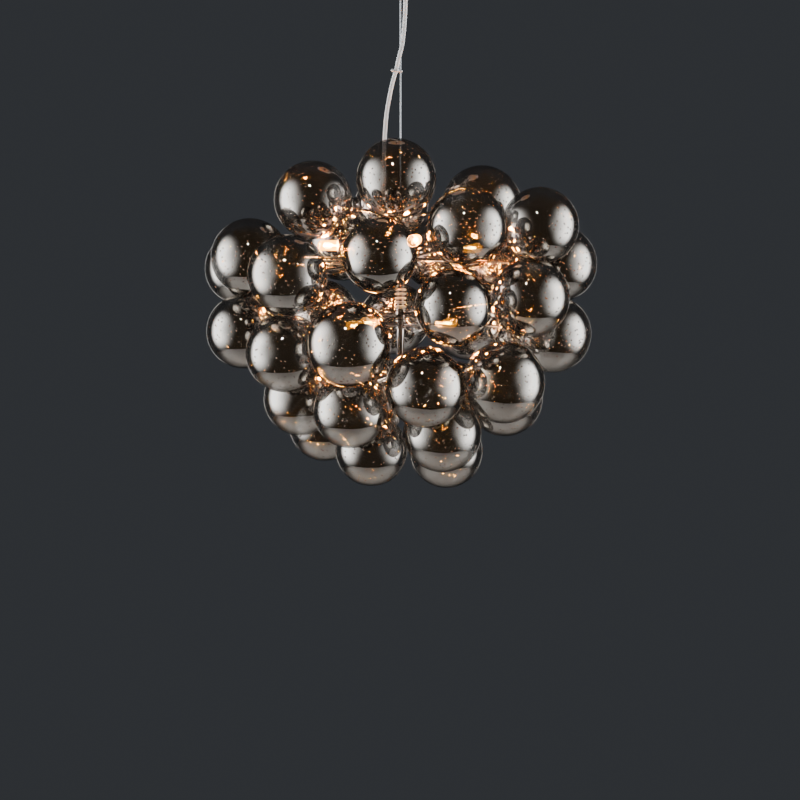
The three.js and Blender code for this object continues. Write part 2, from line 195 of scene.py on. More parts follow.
# %% Placing and joining arrays
def joined(*parts):
    """Several (vertices, faces) pairs as one, with each pair's face numbers raised past those before it."""
    vertices, faces, start = [], [], 0
    for xyz, quads in parts:
        vertices.append(xyz)
        faces.append(np.where(quads < 0, -1, quads + start))
        start += len(xyz)
    return np.vstack(vertices), np.vstack(faces)


def aimed(part, direction, origin=(0, 0, 0)):
    """Turns local +Z towards a direction, then moves: v' = x X + y Y + z D + origin."""
    d = np.asarray(direction, float)
    d = d / np.linalg.norm(d)
    helper = np.array([0, 0, 1.0]) if abs(d[2]) < 0.9 else np.array([1.0, 0, 0])
    x_axis = np.cross(helper, d)
    x_axis /= np.linalg.norm(x_axis)
    turn = np.stack([x_axis, np.cross(d, x_axis), d])
    xyz, faces = part
    return xyz @ turn + np.asarray(origin, float), faces


def shifted(part, offset):
    xyz, faces = part
    return xyz + np.asarray(offset, float), faces


# %% Arrays into a mesh
made = []


def piece(name, part, material, body, replaces=(), smooth=True):
    """Puts vertices and faces into a mesh in world places, and ties the piece to its body."""
    xyz, faces = part
    mesh = bpy.data.meshes.new(name)
    sizes = np.where(faces[:, 3] < 0, 3, 4)
    corners = faces[faces >= 0]
    mesh.vertices.add(len(xyz))
    mesh.vertices.foreach_set("co", xyz.astype(np.float32).ravel())
    mesh.loops.add(len(corners))
    mesh.loops.foreach_set("vertex_index", corners.astype(np.int32))
    mesh.polygons.add(len(faces))
    mesh.polygons.foreach_set("loop_start", (np.cumsum(sizes) - sizes).astype(np.int32))
    mesh.polygons.foreach_set("loop_total", sizes.astype(np.int32))
    mesh.update(calc_edges=True)
    mesh.validate()
    mesh.shade_smooth() if smooth else mesh.shade_flat()
    mesh.materials.append(material)
    item = bpy.data.objects.new(name, mesh)
    scene.collection.objects.link(item)
    if body:
        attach(item, body)
    if replaces:
        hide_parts(*replaces)
    made.append((name, len(faces)))
    return item


# %% [markdown]
# ## The supply flex
# A round white flex of about 5 mm leaves the gripper beside the wire, crosses it slowly, is held by one
# clip and swings out to the bush on the stem's head. It is a fixed length that hangs, so its path comes
# first. The path repeats the model's own points, and a smooth curve passes through them.

# %% The flex's path
FLEX_TOP, FLEX_DROP, FLEX_REACH = -15 * MM, 297.14 * MM, 21 * MM
FLEX_RADIUS = 2.65 * MM
CLIP_SHARES = (-0.27, -0.17, 0.454)
FLEX_SHARES = np.array([
    (0.3, -0.22, 0), (0.3, -0.22, 0.05), (0.3, -0.22, 0.1), (0.295, -0.22, 0.16),
    (0.27, -0.225, 0.22), (0.21, -0.235, 0.28), (0.1, -0.24, 0.343), (-0.12, -0.23, 0.407),
    CLIP_SHARES, (-0.46, -0.12, 0.498), (-0.66, -0.07, 0.562), (-0.85, -0.02, 0.643),
    (-0.95, 0, 0.74), (-0.99, 0, 0.84), (-1, 0, 0.93), (-1, 0, 1)])


def flex_place(shares):
    right, back, drop = np.asarray(shares, float).T
    return np.stack([right * FLEX_REACH, back * FLEX_REACH, FLEX_TOP - drop * FLEX_DROP], axis=-1)


def smooth_path(points, steps):
    """A Catmull-Rom curve: between P1 and P2 it is half of
    (2 P1 + (P2-P0) t + (2 P0 - 5 P1 + 4 P2 - P3) t^2 + (3 P1 - P0 - 3 P2 + P3) t^3)."""
    p = np.vstack([2 * points[0] - points[1], points, 2 * points[-1] - points[-2]])
    p0, p1, p2, p3 = (p[k:len(p) - 3 + k][:, None] for k in range(4))
    t = (np.arange(steps) / steps)[None, :, None]
    curve = 0.5 * (2 * p1 + (p2 - p0) * t + (2 * p0 - 5 * p1 + 4 * p2 - p3) * t ** 2
                   + (3 * p1 - p0 - 3 * p2 + p3) * t ** 3)
    return np.vstack([curve.reshape(-1, 3), points[-1:]])


STEPS_BETWEEN = 8
flex_path = smooth_path(flex_place(FLEX_SHARES), STEPS_BETWEEN)

# %% [markdown]
# ## Finishes
# Each finish is one Principled shader with its own fine pattern. Metal needs a faint brushed or swirled
# roughness to look worked, plastic needs a soft grain, and glass needs slow waves in its surface, because
# a blown globe is never a perfect sphere.


# %% A helper for finishes
def finish(name, color, rough, metal=0.0, **values):
    """A Principled material with plain values on its own sockets. Returns the material and its shader."""
    material = bpy.data.materials.new(name)
    material.use_nodes = True
    shader = material.node_tree.nodes["Principled BSDF"]
    shader.inputs["Base Color"].default_value = (*color, 1)
    shader.inputs["Roughness"].default_value = rough
    shader.inputs["Metallic"].default_value = metal
    for socket, value in values.items():
        shader.inputs[socket.replace("_", " ")].default_value = value
    return material, shader


def node(material, kind, **settings):
    """Adds a node and sets what is named: inputs by their label, anything else as a property."""
    added = material.node_tree.nodes.new(kind)
    for key, value in settings.items():
        label = key.replace("_", " ")
        if label in added.inputs:
            added.inputs[label].default_value = value
        else:
            setattr(added, key, value)
    return added


def wire(material, source, target):
    material.node_tree.links.new(source, target)


# %% Noise in a finish
def spread(material, value, start, stop, low=0.0, high=1.0):
    """A Map Range node that carries start..stop over to low..high."""
    added = node(material, "ShaderNodeMapRange", From_Min=start, From_Max=stop, To_Min=low, To_Max=high)
    wire(material, value, added.inputs["Value"])
    return added.outputs["Result"]


NOISE_LOW, NOISE_HIGH = 0.3, 0.7


def patterned(material, shader, scale, low, high, stretch=(1, 1, 1), bump=0.0, height=0.1 * MM):
    """Noise on Object coordinates sets the roughness between two values, and a faint bump if asked.
    Nearly all of the noise lies between NOISE_LOW and NOISE_HIGH."""
    place = node(material, "ShaderNodeTexCoord")
    mapping = node(material, "ShaderNodeMapping", Scale=stretch)
    noise = node(material, "ShaderNodeTexNoise", Scale=scale, Detail=4.0, Roughness=0.6)
    wire(material, place.outputs["Object"], mapping.inputs["Vector"])
    wire(material, mapping.outputs["Vector"], noise.inputs["Vector"])
    rough = spread(material, noise.outputs["Fac"], NOISE_LOW, NOISE_HIGH, low, high)
    wire(material, rough, shader.inputs["Roughness"])
    if bump:
        relief = node(material, "ShaderNodeBump", Strength=bump, Distance=height)
        wire(material, noise.outputs["Fac"], relief.inputs["Height"])
        wire(material, relief.outputs["Normal"], shader.inputs["Normal"])


# %% [markdown]
# ### Smoked, half-mirrored glass
# The globes carry a thin metal coat outside, so they reflect the room like dark mirrors and still let
# some light through. A metal shader with a part alpha does just that: the alpha is the share that the
# coat reflects or keeps, and the rest passes straight on, as it does through a thin wall. Slow noise
# tilts the surface a little. Where that noise is high, patches of seeds, the tiny air bubbles of
# hand-blown glass, prick the surface. There the base colour is also painted copper: a painted glint that
# stands in for the lamps' light that the seeds would mirror. Near the neck the hot glass was pulled, so
# there a finer noise streaks it. How much is kept in each mesh as an attribute. The inner face has no
# coat, only the faint gloss of bare glass.

# %% Smoked glass
COAT, COAT_EDGE, COAT_SHARE = (0.62, 0.58, 0.53), (0.52, 0.49, 0.46), 0.58
# The seeds' copper is painted light: a glint of the lamps put into the base colour, not a colour of the
# glass.
PAINTED_LAMP_GLINT, SEED_CORE, SEED_EDGE = (0.62, 0.22, 0.06), 0.03, 0.19
PATCH_START, PATCH_FULL, PAINTED_GLINT_FULL = 0.36, 0.50, 0.35

smoked_glass, shader = finish("smoked_glass", COAT, 0.015, 1.0, Alpha=COAT_SHARE,
                              Specular_Tint=(*COAT_EDGE, 1))
place = node(smoked_glass, "ShaderNodeTexCoord").outputs["Object"]
waves = node(smoked_glass, "ShaderNodeTexNoise", Scale=12.0, Detail=2.0)
seeds = node(smoked_glass, "ShaderNodeTexVoronoi", Scale=190.0)
streaks = node(smoked_glass, "ShaderNodeTexNoise", Scale=70.0, Detail=3.0, Distortion=1.2)
pull = node(smoked_glass, "ShaderNodeAttribute", attribute_name="necking")
pips = spread(smoked_glass, seeds.outputs["Distance"], SEED_CORE, SEED_EDGE, 1.0, 0.0)
patches = spread(smoked_glass, waves.outputs["Fac"], PATCH_START, PATCH_FULL)
clustered = node(smoked_glass, "ShaderNodeMath", operation="MULTIPLY")
# Painted glint: where seeds cluster, the base colour turns towards the lamps' copper light.
painted_glint_share = spread(smoked_glass, clustered.outputs["Value"], 0.0, PAINTED_GLINT_FULL)
painted_glint_mix = node(smoked_glass, "ShaderNodeMix", data_type="RGBA")
glint_share_input, glint_plain_color, glint_copper_color, glint_painted_color = *(painted_glint_mix.inputs[k] for k in (0, 6, 7)), painted_glint_mix.outputs[2]
glint_plain_color.default_value = (*COAT, 1)
glint_copper_color.default_value = (*PAINTED_LAMP_GLINT, 1)
swell = node(smoked_glass, "ShaderNodeBump", Strength=0.5, Distance=4 * MM)
prick = node(smoked_glass, "ShaderNodeBump", Strength=1.0, Distance=1.2 * MM)
drag = node(smoked_glass, "ShaderNodeBump", Distance=4 * MM)
for source, target in (
        (place, waves.inputs["Vector"]), (place, seeds.inputs["Vector"]), (place, streaks.inputs["Vector"]),
        (pips, clustered.inputs[0]), (patches, clustered.inputs[1]),
        (painted_glint_share, glint_share_input), (glint_painted_color, shader.inputs["Base Color"]),
        (waves.outputs["Fac"], swell.inputs["Height"]),
        (swell.outputs["Normal"], prick.inputs["Normal"]),
        (clustered.outputs["Value"], prick.inputs["Height"]),
        (prick.outputs["Normal"], drag.inputs["Normal"]),
        (streaks.outputs["Fac"], drag.inputs["Height"]), (pull.outputs["Fac"], drag.inputs["Strength"]),
        (drag.outputs["Normal"], shader.inputs["Normal"])):
    wire(smoked_glass, source, target)

# %% The glass's bare inner face
clear_inside, shader = finish("clear_inside", (0.02, 0.02, 0.02), 0.03, 0.0, Alpha=0.3)
patterned(clear_inside, shader, 30, 0.02, 0.05)

# %% Metals
chrome, shader = finish("chrome", (0.52, 0.48, 0.44), 0.08, 1.0)
patterned(chrome, shader, 60, 0.04, 0.14, bump=0.05, height=0.2 * MM)
bracket_steel, shader = finish("bracket_steel", (0.62, 0.63, 0.64), 0.35, 1.0)
patterned(bracket_steel, shader, 90, 0.26, 0.44, stretch=(1, 8, 1), bump=0.15)
wire_steel, shader = finish("wire_steel", (0.66, 0.67, 0.68), 0.28, 1.0)
patterned(wire_steel, shader, 400, 0.2, 0.38)
satin_nickel, shader = finish("satin_nickel", (0.60, 0.59, 0.57), 0.32, 1.0)
patterned(satin_nickel, shader, 70, 0.26, 0.40, stretch=(1, 1, 14), bump=0.1)

# %% Plastics and ceramic
white_flex, shader = finish("white_flex", (0.94, 0.94, 0.93), 0.45)
patterned(white_flex, shader, 220, 0.38, 0.55, bump=0.25, height=0.2 * MM)
clip_plastic, shader = finish("clip_plastic", (0.74, 0.75, 0.76), 0.3, Coat_Weight=0.3)
patterned(clip_plastic, shader, 160, 0.24, 0.36)
nylon, shader = finish("nylon", (0.80, 0.78, 0.72), 0.5, Subsurface_Weight=0.05)
patterned(nylon, shader, 180, 0.42, 0.6, bump=0.15)
ceramic, shader = finish("ceramic", (0.82, 0.80, 0.76), 0.4)
patterned(ceramic, shader, 260, 0.3, 0.5, bump=0.2)

# %% [markdown]
# ### The lamps' glow
# A capsule lamp is a finger of clear glass round a wound filament. The filament is the real source, and
# the glass round it glares, so both give light: the filament strongly, the glass faintly and warm. The
# glass has a black base, because the light inside it would turn any other into a white bar.

# %% Lamp finishes
GLASS_GLOW, FILAMENT_GLOW = 7.0, 150.0
GLASS_AMBER, FILAMENT_AMBER = (1.0, 0.40, 0.06), (1.0, 0.66, 0.15)
lamp_glass, shader = finish("lamp_glass", (0.0, 0.0, 0.0), 0.05, Alpha=0.45, Emission_Strength=GLASS_GLOW,
                            Emission_Color=(*GLASS_AMBER, 1))
patterned(lamp_glass, shader, 120, 0.03, 0.12)
filament, shader = finish("filament", (1.0, 0.75, 0.45), 0.5, Emission_Strength=FILAMENT_GLOW,
                          Emission_Color=(*FILAMENT_AMBER, 1))

# %% [markdown]
# ## The plan of the cluster
# Each crown has a height, and each globe on it a turn from the front, a reach from the stem, a height
# and a size, all in globe diameters. A crown with lamps has their height, the reach of their holders and
# the first one's turn. These are the model's own values, so each fine surface lands where its solid is.

# %% Places of crowns, globes and lamps
GLOBE = 96 * MM
CLUSTER = -465 * MM
CROWNS = {
    "top": (1.36, None, [
        (-71, 1.2, 1.54, 1.02), (-3, 1.06, 1.73, 1.02), (111, 1.17, 1.56, 1.08), (-174, 1.15, 1.66, 1.03)]),
    "upper": (0.8, (0.97, 0.67, -79), [
        (-103, 2.2, 0.72, 1.01), (-73, 2.02, 0.78, 1.01), (-40, 2.15, 0.48, 1.0), (-7, 2.04, 0.69, 0.94),
        (26, 1.86, 1.05, 1.0), (68, 1.92, 1.17, 1.0), (96, 2.12, 0.76, 1.02), (134, 1.98, 0.92, 1.03),
        (165, 2.05, 1.04, 1.03), (-155, 1.98, 1.16, 1.03)]),
    "middle": (0.08, (-0.057, 0.44, -34), [
        (-87, 2.06, -0.15, 0.98), (-50, 1.88, -0.46, 1.0), (-18, 2.03, -0.38, 1.05), (18, 2.05, 0.07, 0.94),
        (51, 2.07, 0.22, 1.0), (83, 2.0, -0.19, 1.01), (122, 2.06, -0.12, 1.0), (152, 2.06, 0.03, 1.03),
        (-178, 2.08, 0.12, 1.03), (-148, 2.08, 0.14, 1.03)]),
    "lower": (-0.68, None, [
        (-75, 1.34, -1.03, 0.97), (-27, 1.38, -1.18, 0.95), (10, 1.76, -0.9, 1.0), (45, 1.82, -0.83, 1.03),
        (104, 1.44, -1.03, 1.02), (152, 1.6, -1.02, 1.03), (-165, 1.75, -0.85, 1.03)]),
    "bottom": (-1.0, None, [
        (-119, 1.17, -1.39, 0.97), (-48, 0.51, -1.7, 0.94), (31, 1.03, -1.47, 1.0), (126, 0.76, -1.74, 1.0)]),
}


def outward(turn):
    a = math.radians(turn)
    return np.array([math.sin(a), -math.cos(a), 0.0])


hubs = {name: np.array([0, 0, CLUSTER + plan[0] * GLOBE]) for name, plan in CROWNS.items()}
globes = [
    (f"globe_{name}_{k + 1}", name, outward(turn) * reach * GLOBE + [0, 0, CLUSTER + rise * GLOBE],
     size * GLOBE / 2)
    for name, plan in CROWNS.items() for k, (turn, reach, rise, size) in enumerate(plan[2])]
print(len(globes), "globes")

# %% [markdown]
# ## Glass globes
# Each globe is blown, then drawn in at one side to a short neck with a thick, fire-polished lip. Half of
# its profile is the outside and half the inside, 2 mm further in, because the inner wall mirrors the
# room a second time and that gives the fine double edge. Hand-blown glass also sags a little, so a slow
# wave, different on each globe, moves the wall by a fraction of a millimetre.

# %% One globe
NECK, NECK_WALL, NECK_LENGTH, NECK_CORNER, WALL = 12 * MM, 2.5 * MM, 6 * MM, 3 * MM, 2 * MM
FULL, SAG = 0.996, 0.004


def neck_end(radius):
    return math.sqrt(radius ** 2 - NECK ** 2) + NECK_LENGTH


def ball_radius(centre, radius):
    """Almost the model's radius, but never past the walls of the model's box."""
    room_left = min(*(centre - cad_low), *(cad_high - centre))
    return min(radius * FULL, room_left - 0.1 * MM)


def globe_surface(radius, ball, number):
    """The pole is outward at +Z and the neck points to -Z. The outside is R (sin a, cos a) up to the
    neck's flare, then a curve down to the neck's wall, the round lip, and the same again inside. The
    wave is 1 - SAG |sin(3 polar + n) sin(2 round + 2n)|, on the sphere alone."""

    def shell(r, throat, corner):
        start = math.pi - math.asin((throat + corner) / r)
        a = np.linspace(0, start, 42)
        flare_end = -math.sqrt(r ** 2 - throat ** 2) - corner * 0.55
        t = np.linspace(0, 1, 7)[1:, None]
        p0 = np.array([r * math.sin(start), r * math.cos(start)])
        p2 = np.array([throat, flare_end])
        p1 = np.array([throat, -math.sqrt(r ** 2 - throat ** 2) + corner * 0.25])
        flare = (1 - t) ** 2 * p0 + 2 * t * (1 - t) * p1 + t ** 2 * p2
        return np.vstack([np.stack([r * np.sin(a), r * np.cos(a)], axis=-1), flare])

    outside = shell(ball, NECK, NECK_CORNER)
    inside = shell(ball - WALL, NECK - NECK_WALL, NECK_CORNER)
    middle, end = NECK - NECK_WALL / 2, -neck_end(radius) + NECK_WALL / 2
    b = np.linspace(0, math.pi, 7)
    lip = np.stack([middle + NECK_WALL / 2 * np.cos(b), end - NECK_WALL / 2 * np.sin(b)], axis=-1)
    profile = np.vstack([outside, lip, inside[::-1]])
    profile[0, 0] = profile[-1, 0] = 0
    xyz, faces = turned(profile, 56)
    polar = np.arctan2(np.hypot(xyz[:, 0], xyz[:, 1]), xyz[:, 2])
    round_ = np.arctan2(xyz[:, 1], xyz[:, 0])
    on_ball = np.clip((xyz[:, 2] + 0.8 * ball) / (0.3 * ball), 0, 1) * np.sin(polar)
    wave = SAG * np.sin(3 * polar + number) * np.sin(2 * round_ + 2 * number) * on_ball
    return xyz * (1 - np.abs(wave))[:, None], faces


# %% The inner wall and the pulled glass
def inner_faces(surface, ball):
    """True for the faces of the inner wall: nearer the centre than the wall's middle, or in the neck,
    nearer the axis. A pole's triangles repeat their first vertex here, which does not move them out."""
    xyz, faces = surface
    middle = xyz[np.where(faces < 0, faces[:, :1], faces)].mean(axis=1)
    across = np.hypot(middle[:, 0], middle[:, 1])
    in_neck = middle[:, 2] < -math.sqrt((ball - WALL) ** 2 - NECK ** 2)
    return np.where(in_neck, across < NECK - NECK_WALL / 2,
                    np.linalg.norm(middle, axis=1) < ball - WALL * 0.5)


def necking(surface, ball):
    """How strongly the hot glass was pulled, from 0 on the ball to 1 at the neck."""
    return np.clip((-surface[0][:, 2] / ball - 0.1) / 0.8, 0, 1) ** 2


# %% The globes in place
for number, (name, crown, centre, radius) in enumerate(globes):
    ball = ball_radius(centre, radius)
    surface = globe_surface(radius, ball, number)
    globe = piece(name + "_glass", aimed(surface, centre - hubs[crown], centre), smoked_glass, "fixture",
                  [name])
    globe.data.materials.append(clear_inside)
    globe.data.polygons.foreach_set("material_index", inner_faces(surface, ball).astype(np.int32))
    pull = globe.data.attributes.new("necking", "FLOAT", "POINT")
    pull.data.foreach_set("value", necking(surface, ball).astype(np.float32))
print(len(made), "globes of", made[-1][1], "faces")

# %% [markdown]
# ## Crowns
# A crown is a turned hub on the stem with a thin rod to each globe. Each rod ends in a spun cap that
# holds the globe's neck: a cone, a rolled bead and a short skirt over the glass. On two crowns, four
# sturdier arms carry lamp holders, chromed cups with a ceramic insert.

# %% Rods and caps
ROD, CAP, CAP_DEPTH, GAP = 2 * MM, 14.5 * MM, 9 * MM, 0.3 * MM
BUTTON, BUTTON_RISE, FERRULE, BEAD = 8.2 * MM, 4.5 * MM, 3.2 * MM, 1.1 * MM
STEM = 5 * MM


def rod_and_cap(face):
    """A profile along the rod: rod, ferrule, a cone that swells as a quarter sine, a bead and a skirt.
    Inside the neck the cap ends in a domed button, which shows through the globe as a small bright ring."""
    start = face - CAP_DEPTH
    t = np.linspace(0, 1, 9)
    cone_foot, cone_swell, cone_rise = 3.4 * MM, CAP - 4.6 * MM, CAP_DEPTH - 3.6 * MM
    cone = np.stack([cone_foot + cone_swell * np.sin(t * math.pi / 2) ** 1.25,
                     start + 2.2 * MM + cone_rise * t], axis=-1)
    b = np.linspace(-0.5, 0.5, 6) * math.pi
    bead = np.stack([CAP - BEAD + BEAD * np.cos(b), face - BEAD + BEAD * np.sin(b)], axis=-1)
    skirt_out, skirt_in, skirt_end = NECK + 1.2 * MM, NECK + GAP, face + 3.6 * MM
    a = np.linspace(0, math.pi / 2, 7)
    dome = np.stack([BUTTON * np.cos(a), face + BUTTON_RISE * np.sin(a)], axis=-1)[1:]
    dome[-1, 0] = 0
    profile = np.vstack([
        [[0, STEM], [ROD, STEM], [ROD, start - 3 * MM], [FERRULE, start - 2.4 * MM],
         [FERRULE, start + 1.4 * MM], [2.6 * MM, start + 1.8 * MM]],
        cone, bead,
        [[skirt_out, face + 0.2 * MM], [skirt_out, skirt_end], [skirt_in, skirt_end],
         [skirt_in, face], [BUTTON, face]],
        dome])
    return turned(profile, 28)


# %% Hubs
HUB, BOWL, HUB_HALF = 7.5 * MM, 19 * MM, 7 * MM
PLUG = 9 * MM


def hub_surface(bowl):
    """A slim ring with a turned groove over and under its rods, bored for the stem. The lowest one is a
    half bowl."""
    bore = STEM + GAP
    if bowl:
        a = np.linspace(math.asin(PLUG / BOWL), math.pi / 2, 16)
        under = np.stack([BOWL * np.sin(a), -BOWL * np.cos(a)], axis=-1)
        flat = -math.sqrt(BOWL ** 2 - PLUG ** 2)
        profile = np.vstack([[[bore, flat]], under, [[BOWL, HUB_HALF - 1.5 * MM], [BOWL - 1.5 * MM, HUB_HALF],
                                                     [bore, HUB_HALF]]])
        return turned(profile, 56)
    chamfer, groove, high = 1.5 * MM, 0.8 * MM, 4.2 * MM
    upper = [(HUB, high - groove), (HUB - groove, high - groove * 0.4), (HUB - groove, high + groove * 0.4),
             (HUB, high + groove), (HUB, HUB_HALF - 0.6 * MM), (HUB - chamfer, HUB_HALF), (bore, HUB_HALF)]
    lower = [(r, -z) for r, z in reversed(upper)]
    return turned(eased(lower + upper, 0.4 * MM, closed=True), 56)


def screw_rim(inner, outer, deep, face, ease):
    """A socket screw seen end on: a short ring about +Z with a hollow middle."""
    section = [(inner, deep), (outer, deep), (outer, face), (inner, face)]
    return turned(eased(section, ease, closed=True), 18)


def set_screw(height, turn):
    """A screw that stands a little out of the hub's side."""
    rim = screw_rim(1.1 * MM, 2 * MM, -0.4 * MM, 0.35 * MM, 0.12 * MM)
    return aimed(rim, outward(turn), outward(turn) * HUB + [0, 0, height])


# %% Lamp holders
BOSS, BOSS_HEIGHT, LAMP_ARM = 7.5 * MM, 12 * MM, 3 * MM
HOLDER, HOLDER_WALL, HOLDER_DEPTH, HOLDER_FLOOR = 8.4 * MM, 1.8 * MM, 13 * MM, 3 * MM


def holder_surface(reach):
    """The arm, a stepped foot and the cup, whose mouth has a rolled rim."""
    floor = reach + HOLDER_FLOOR
    end = floor + HOLDER_DEPTH
    foot, cup, inner = 5 * MM, HOLDER - 0.6 * MM, HOLDER - HOLDER_WALL
    profile = eased([
        (0, STEM), (LAMP_ARM, STEM), (LAMP_ARM, reach - 5 * MM), (foot, reach - 4 * MM),
        (foot, reach), (cup, reach), (cup, end - 3 * MM), (HOLDER, end - 2.4 * MM), (HOLDER, end),
        (inner, end), (inner, floor), (0, floor)], 0.7 * MM)
    return turned(profile, 36)


# %% The crowns in place
for name, (height, lamps, _) in CROWNS.items():
    parts = [shifted(hub_surface(name == "bottom"), hubs[name])]
    for _, crown, centre, radius in globes:
        if crown == name:
            direction = centre - hubs[name]
            face = np.linalg.norm(direction) - neck_end(radius) - GAP
            parts.append(aimed(rod_and_cap(face), direction, hubs[name]))
    if lamps:
        lamp_height, lamp_reach, lamp_turn = lamps
        level = CLUSTER + lamp_height * GLOBE
        side = math.copysign(1, lamp_height - height)
        near, far = sorted([hubs[name][2] + side * HUB_HALF, level + side * BOSS_HEIGHT / 2])
        bore = STEM + GAP
        boss = eased([(bore, near), (BOSS, near), (BOSS, far), (bore, far)], 1.2 * MM, closed=True)
        parts.append(turned(boss, 48))
        for quarter in range(4):
            parts.append(aimed(holder_surface(lamp_reach * GLOBE), outward(lamp_turn + 90 * quarter),
                               (0, 0, level)))
    if name != "bottom":
        parts += [set_screw(hubs[name][2] + 3.8 * MM, turn) for turn in (12, 192)]
    piece("crown_" + name + "_metal", joined(*parts), chrome, "fixture", ["crown_" + name])
print("crowns", [count for label, count in made if label.startswith("crown")])

# %% [markdown]
# ## Capsule lamps
# Each lamp stands in its holder on a white ceramic foot. Its glass narrows to a small sealed tip. The
# filament inside is a wound coil on two legs, drawn along a helix, so it shows as a bright thread.

# %% Lamps
LAMP, LAMP_LENGTH, LAMP_FOOT = 6.4 * MM, 27 * MM, 5.6 * MM
COIL, COIL_START, COIL_LENGTH, COIL_TURNS = 1.5 * MM, 7 * MM, 11 * MM, 11


def lamp_glass_surface(mouth):
    """The envelope: a shoulder out of the foot, a straight wall, a round end and the sealed tip."""
    start, tip, dome = mouth - 1 * MM, mouth + LAMP_LENGTH, LAMP * 0.8
    a = np.linspace(0, 1, 12) * math.pi / 2
    end = np.stack([LAMP * np.cos(a), tip - 1.6 * MM - dome + dome * np.sin(a)], axis=-1)[:-1]
    pip = [(0.9 * MM, tip - 1.5 * MM), (0.6 * MM, tip - 0.5 * MM), (0, tip)]
    return turned(np.vstack([
        [(0, start), (LAMP_FOOT * 0.8, start), (LAMP_FOOT * 0.9, start + 1.4 * MM), (LAMP, start + 3.4 * MM)],
        end, pip]), 32)


def foot_surface(mouth):
    start = mouth - HOLDER_DEPTH + GAP
    return turned(eased([(0, start), (LAMP_FOOT, start), (LAMP_FOOT, mouth), (0, mouth)], 0.7 * MM), 28)


def filament_surface(mouth):
    """A helix about the lamp's line, with a straight leg at each end. The leg from the coil's far end
    comes down the other side."""
    start = mouth + COIL_START
    t = np.linspace(0, 1, 200)
    angle = 2 * np.pi * COIL_TURNS * t
    coil = np.stack([COIL * np.cos(angle), COIL * np.sin(angle), start + COIL_LENGTH * t], axis=-1)
    ends = [(start - 7.5 * MM, start), (start - 7.5 * MM, start + COIL_LENGTH)]
    legs = [np.stack([np.full(5, side * COIL), np.zeros(5), np.linspace(*end, 5)], axis=-1)
            for side, end in zip((1, -1), ends)]
    legs[1][-1, 0] = COIL
    return joined(drawn(coil, 0.28 * MM, 6, across=(0, 0, 1)), *(drawn(leg, 0.3 * MM, 6) for leg in legs))


def insert_surface(mouth):
    """The ceramic ring that lines the holder's mouth."""
    inner, outer = LAMP_FOOT + 0.2 * MM, HOLDER - HOLDER_WALL - 0.1 * MM
    low, high = mouth - 5 * MM, mouth + 0.6 * MM
    section = [(inner, low), (outer, low), (outer, high), (inner, high)]
    return turned(eased(section, 0.2 * MM, closed=True), 32)


# %% The lamps in place
glows = []
for name in ("upper", "middle"):
    lamp_height, lamp_reach, lamp_turn = CROWNS[name][1]
    level = np.array([0, 0, CLUSTER + lamp_height * GLOBE])
    mouth = lamp_reach * GLOBE + HOLDER_FLOOR + HOLDER_DEPTH
    for quarter in range(4):
        way = outward(lamp_turn + 90 * quarter)
        lamp, insert = (f"{kind}_{name}_{quarter + 1}" for kind in ("lamp", "holder_insert"))
        piece(lamp + "_glass", aimed(lamp_glass_surface(mouth), way, level), lamp_glass, lamp,
              [lamp])
        piece(lamp + "_filament", aimed(filament_surface(mouth), way, level), filament, lamp)
        piece(lamp + "_foot", aimed(foot_surface(mouth), way, level), ceramic, lamp)
        piece(insert, aimed(insert_surface(mouth), way, level), ceramic, "fixture")
        glows.append(level + way * (mouth + COIL_START + COIL_LENGTH / 2))
print(len(glows), "lamps")

# %% [markdown]
# ## Stem, head and plug
# The stem is a chromed tube that shows between the globes, with a stack of turned rings just above the
# middle crown. Its head rests on the wire's crimped stop, and the flex goes down through the bush beside
# it.

# %% Stem
STEM_WALL = 1.1 * MM
RINGS, RING_FIRST, RING_PITCH, RING_HALF, RING_STAND = 5, 2.4 * MM, 5.4 * MM, 1.4 * MM, 2.4 * MM
HEAD_BOTTOM = hubs["top"][2] + HUB_HALF + 6 * MM
HEAD_TOP = HEAD_BOTTOM + 5 * MM
BUSH_TOP = HEAD_TOP + 4 * MM
STEM_BOTTOM = hubs["bottom"][2] - math.sqrt(BOWL ** 2 - PLUG ** 2)
BORE = STEM - STEM_WALL
WIRE = 1 * MM

stem_tube = turned([(BORE, STEM_BOTTOM), (STEM, STEM_BOTTOM), (STEM, HEAD_BOTTOM - GAP),
                    (BORE, HEAD_BOTTOM - GAP)], 48)


def collar(z):
    """A turned ring on the stem: its radius is the stem's plus its stand times the cosine over its height."""
    b = np.linspace(-0.5, 0.5, 9) * math.pi
    inside = STEM - 0.2 * MM
    bead = np.stack([STEM + RING_STAND * np.cos(b), z + RING_HALF * np.sin(b)], axis=-1)
    return turned(np.vstack([[(inside, z - RING_HALF)], bead, [(inside, z + RING_HALF)]]), 40)


collars = [collar(hubs["middle"][2] + HUB_HALF + RING_FIRST + RING_PITCH * k) for k in range(RINGS)]
piece("stem_tube_metal", stem_tube, chrome, "fixture", ["stem_tube"])
piece("stem_collars_metal", joined(*collars), satin_nickel, "fixture", ["stem_tube"])

